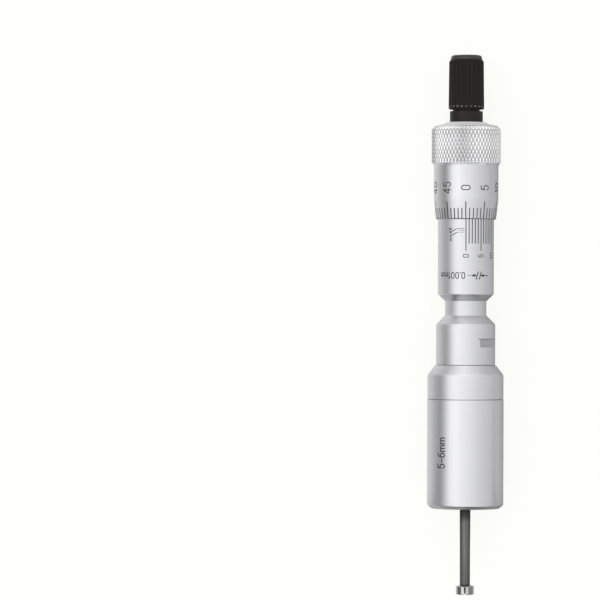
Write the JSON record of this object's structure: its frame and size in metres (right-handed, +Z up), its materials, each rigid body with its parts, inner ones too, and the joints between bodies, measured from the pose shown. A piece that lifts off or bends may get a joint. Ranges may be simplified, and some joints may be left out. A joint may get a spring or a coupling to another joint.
{
  "type": "inside micrometer",
  "caption": "Two-point inside micrometer for small bores: split measuring head on a thin stem, grip barrel, graduated sleeve, knurled thimble and ratchet knob, lying on its side.",
  "frame": {"origin": "centre of the bounding box's bottom face: under the middle of the instrument's length, on the surface it lies on", "axes": "+Y along the instrument's axis from the measuring head to the ratchet knob, +Z up, the way the scales look, +X to the right as the scales are read with the knob uppermost"},
  "size_m": [0.0212, 0.1504, 0.0213],
  "materials": {
    "barrel_chrome": "satin chrome plate, turned",
    "tube_chrome": "satin chrome plate, turned",
    "sleeve_chrome": "satin chrome plate with black filled lines and figures",
    "thimble_chrome": "satin chrome plate with a diamond knurl, black filled lines and figures",
    "dark_steel": "dark hardened steel, fine ground",
    "polished_steel": "polished hardened steel",
    "inner_steel": "ground steel",
    "spring_steel": "drawn spring wire",
    "bronze": "bearing bronze, turned",
    "black_plastic": "black moulded plastic, fine grain"
  },
  "bodies": {
    "frame": {"barrel": "barrel_chrome", "barrel_cap": "barrel_chrome", "stem": "dark_steel", "stem_holder": "inner_steel", "holder_screw_left": "dark_steel", "holder_screw_right": "dark_steel", "guide_bush": "bronze", "guide_pin_front": "inner_steel", "guide_pin_back": "inner_steel", "main_tube": "tube_chrome", "key_pin": "inner_steel", "graduated_sleeve": "sleeve_chrome", "adjusting_nut": "inner_steel", "return_spring": "spring_steel", "contact_spring": "spring_steel"},
    "thrust_ball": {"thrust_ball": "polished_steel"},
    "thimble": {"thimble": "thimble_chrome", "spindle": "inner_steel", "ratchet_base": "black_plastic", "ratchet_screw": "dark_steel"},
    "ratchet_knob": {"ratchet_knob": "black_plastic", "ratchet_spring": "spring_steel"},
    "ratchet_clutch": {"ratchet_clutch": "inner_steel"},
    "push_rod": {"push_rod": "inner_steel", "needle": "polished_steel"},
    "contact_left": {"contact_left": "polished_steel"},
    "contact_right": {"contact_right": "polished_steel"}
  },
  "joints": [
    {"name": "spindle_slide", "type": "slide", "parent": "frame", "child": "thrust_ball", "axis": [0, -1, 0], "range_m": [0, 0.0035]},
    {"name": "thimble_turn", "type": "hinge", "parent": "thrust_ball", "child": "thimble", "pos_m": [0, 0, 0.01065], "axis": [0, -1, 0], "range_deg": [0, 2520.01]},
    {"name": "ratchet_turn", "type": "hinge", "parent": "thimble", "child": "ratchet_knob", "pos_m": [0, 0, 0.01065], "axis": [0, -1, 0], "continuous": true},
    {"name": "clutch_lift", "type": "slide", "parent": "ratchet_knob", "child": "ratchet_clutch", "axis": [0, 1, 0], "range_m": [0, 0.0008], "deforming": ["ratchet_spring"]},
    {"name": "push_rod_slide", "type": "slide", "parent": "frame", "child": "push_rod", "axis": [0, -1, 0], "range_m": [0, 0.001], "deforming": ["return_spring"]},
    {"name": "contact_left_slide", "type": "slide", "parent": "frame", "child": "contact_left", "axis": [-1, 0, 0], "range_m": [0, 0.0005001], "deforming": ["contact_spring"]},
    {"name": "contact_right_slide", "type": "slide", "parent": "frame", "child": "contact_right", "axis": [1, 0, 0], "range_m": [0, 0.0005001]}
  ],
  "couplings": [
    {"joint": "thimble_turn", "follows": "spindle_slide", "rad_per_m": 12566},
    {"joint": "push_rod_slide", "follows": "spindle_slide", "ratio": 0.28571},
    {"joint": "contact_left_slide", "follows": "spindle_slide", "ratio": 0.14286},
    {"joint": "contact_right_slide", "follows": "spindle_slide", "ratio": 0.14286}
  ]
}
